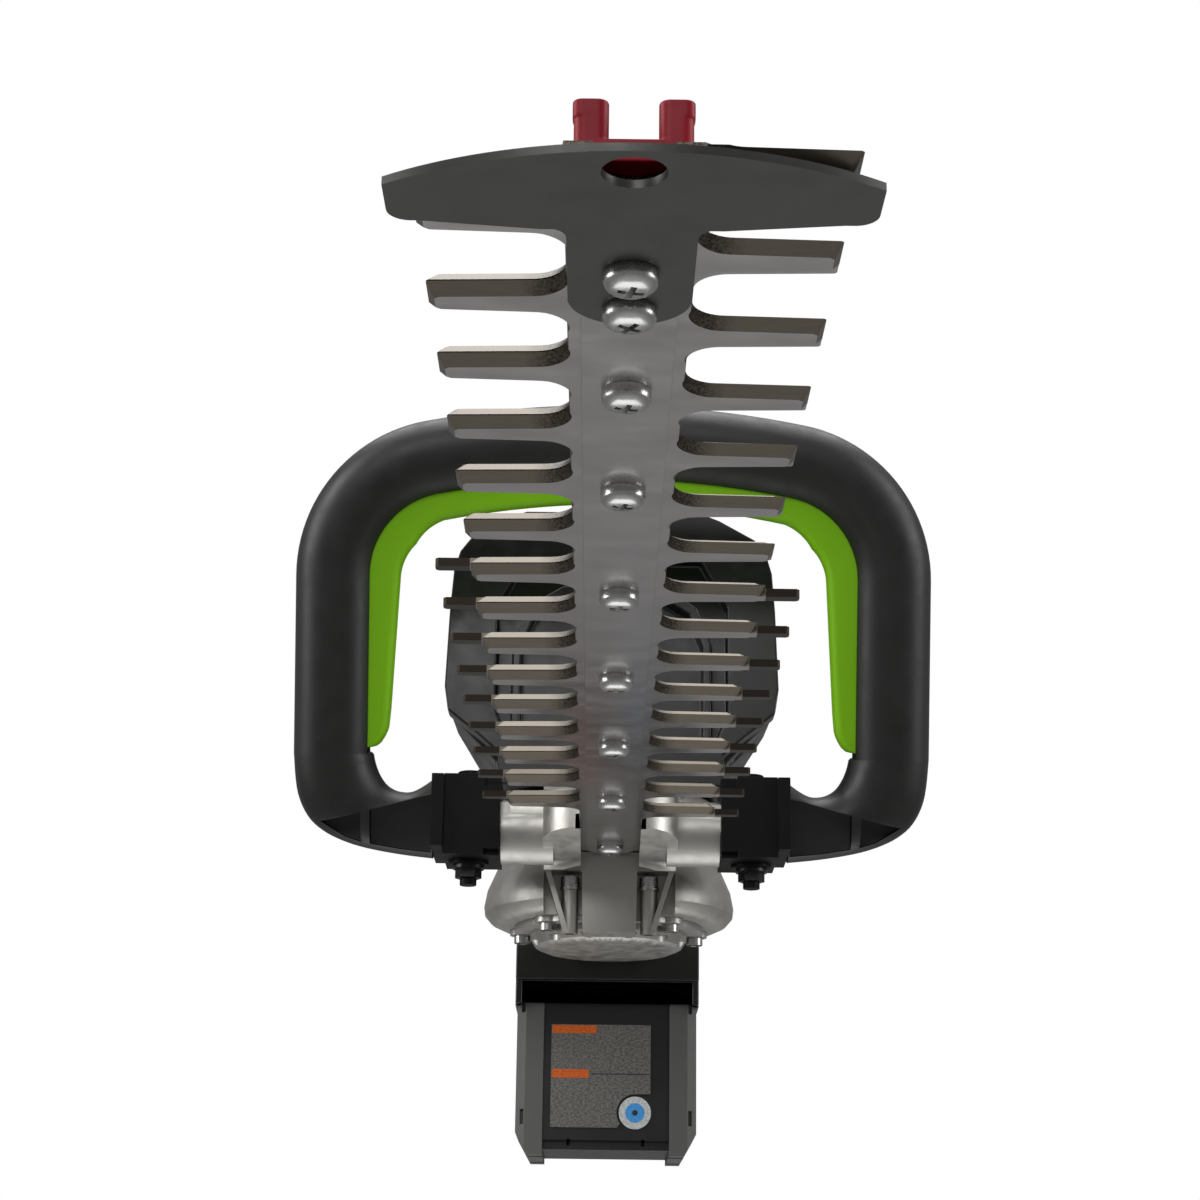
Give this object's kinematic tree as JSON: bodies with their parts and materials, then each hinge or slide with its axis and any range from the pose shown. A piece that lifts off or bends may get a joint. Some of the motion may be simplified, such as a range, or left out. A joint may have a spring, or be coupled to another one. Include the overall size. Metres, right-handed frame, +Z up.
{
  "type": "hedge trimmer",
  "caption": "Battery hedge trimmer with double-sided counter-moving blades, wrap-around front handle, swivelling rear handle and slide-on battery.",
  "frame": {"origin": "centre of the tool's footprint, at the level of the battery's foot", "axes": "+Y from the blade's tip to the rear handle, +X to the right seen from the tip, +Z up"},
  "size_m": [0.3158, 1.206, 0.3512],
  "materials": {
    "blade_steel": "brushed",
    "guard_steel": "satin",
    "zinc_steel": "zinc plated",
    "red_plastic": "satin",
    "felt": "felt",
    "cast_aluminium": "fine cast",
    "gear_steel": "oiled",
    "motor_iron": "lacquered",
    "copper": "enamelled wire",
    "black_steel": "black oxide",
    "handle_black": "fine texture",
    "housing_black": "satin",
    "inner_black": "plain",
    "lime_plastic": "satin",
    "board_green": "lacquered",
    "heatsink_aluminium": "extruded",
    "battery_black": "fine texture",
    "bumper_rubber": "matte",
    "label_grey": "printed film",
    "contact_brass": "plated"
  },
  "bodies": {
    "frame": {"lower_guide_bar": "blade_steel", "upper_guide_bar": "blade_steel", "tip_guard": "guard_steel", "tip_clip": "red_plastic", "blade_bolts": "zinc_steel", "blade_spacers": "zinc_steel", "blade_nuts": "zinc_steel", "blade_seal": "felt", "gear_case": "cast_aluminium", "gear_cover": "cast_aluminium", "cover_screws": "zinc_steel", "nose_screws": "zinc_steel", "crank_bearings": "gear_steel", "motor_stator": "motor_iron", "motor_windings": "copper", "motor_bearings": "gear_steel", "motor_bracket": "inner_black", "front_handle": "handle_black", "left_clamp_block": "handle_black", "right_clamp_block": "handle_black", "clamp_bolts": "black_steel", "clamp_nuts": "black_steel", "front_micro_switch": "inner_black", "switch_bar_springs": "zinc_steel", "front_shroud": "housing_black", "left_housing": "housing_black", "right_housing": "housing_black", "housing_screws": "zinc_steel", "controller_board": "board_green", "controller_heatsink": "heatsink_aluminium", "battery_bay": "housing_black", "bay_terminals": "contact_brass", "swivel_ring": "housing_black"},
    "lower_blade": {"lower_blade": "blade_steel"},
    "upper_blade": {"upper_blade": "blade_steel"},
    "crank": {"crank_gear": "gear_steel", "eccentric_shaft": "gear_steel"},
    "rotor": {"motor_pinion": "gear_steel", "motor_shaft": "gear_steel", "motor_rotor": "motor_iron", "motor_fan": "inner_black"},
    "switch_bar": {"front_switch_bar": "lime_plastic"},
    "battery": {"battery_case": "battery_black", "battery_bumpers": "bumper_rubber", "battery_label": "label_grey", "battery_contacts": "contact_brass"},
    "battery_latch": {"battery_latch": "bumper_rubber"},
    "rear_handle": {"left_rear_handle": "housing_black", "right_rear_handle": "housing_black", "rear_handle_screws": "zinc_steel", "trigger_switch": "inner_black", "trigger_spring": "zinc_steel"},
    "trigger": {"rear_trigger": "lime_plastic"},
    "lock_off": {"lock_off_button": "lime_plastic"},
    "swivel_latch": {"swivel_latch": "lime_plastic"}
  },
  "joints": [
    {"name": "lower_blade_slide", "type": "slide", "parent": "frame", "child": "lower_blade", "axis": [0, 1, 0], "range_m": [-0.0105, 0.0105]},
    {"name": "upper_blade_slide", "type": "slide", "parent": "frame", "child": "upper_blade", "axis": [0, 1, 0], "range_m": [-0.0105, 0.0105]},
    {"name": "crank_spin", "type": "hinge", "parent": "frame", "child": "crank", "pos_m": [0, 0.204, 0.14], "axis": [0, 0, 1], "continuous": true},
    {"name": "rotor_spin", "type": "hinge", "parent": "frame", "child": "rotor", "pos_m": [0, 0.24675, 0.14], "axis": [0, 0, 1], "continuous": true},
    {"name": "switch_bar_squeeze", "type": "slide", "parent": "frame", "child": "switch_bar", "axis": [0, -0.2924, 0.9563], "range_m": [0, 0.003], "stiffness_N_per_m": 800, "springref_m": -0.001, "deforming": ["switch_bar_springs"]},
    {"name": "battery_slide", "type": "slide", "parent": "frame", "child": "battery", "axis": [0, 0, -1], "range_m": [0, 0.06]},
    {"name": "battery_latch_press", "type": "slide", "parent": "frame", "child": "battery_latch", "axis": [0, -1, 0], "range_m": [0, 0.003], "stiffness_N_per_m": 600, "springref_m": -0.001},
    {"name": "rear_handle_swivel", "type": "hinge", "parent": "frame", "child": "rear_handle", "pos_m": [0, 0.404, 0.192], "axis": [0, 1, 0], "range_deg": [-90, 90]},
    {"name": "trigger_pull", "type": "hinge", "parent": "rear_handle", "child": "trigger", "pos_m": [0, 0.465, 0.214], "axis": [1, 0, 0], "range_deg": [0, 8], "stiffness_Nm_per_rad": 0.5, "springref_deg": -4.58, "deforming": ["trigger_spring"]},
    {"name": "lock_off_press", "type": "slide", "parent": "rear_handle", "child": "lock_off", "axis": [0, 0, -1], "range_m": [0, 0.003], "stiffness_N_per_m": 500, "springref_m": -0.001},
    {"name": "swivel_latch_slide", "type": "slide", "parent": "frame", "child": "swivel_latch", "axis": [0, -1, 0], "range_m": [0, 0.004], "stiffness_N_per_m": 500, "springref_m": -0.001}
  ],
  "couplings": [
    {"joint": "upper_blade_slide", "follows": "lower_blade_slide", "ratio": -1},
    {"joint": "rotor_spin", "follows": "crank_spin", "ratio": -5.3333}
  ]
}
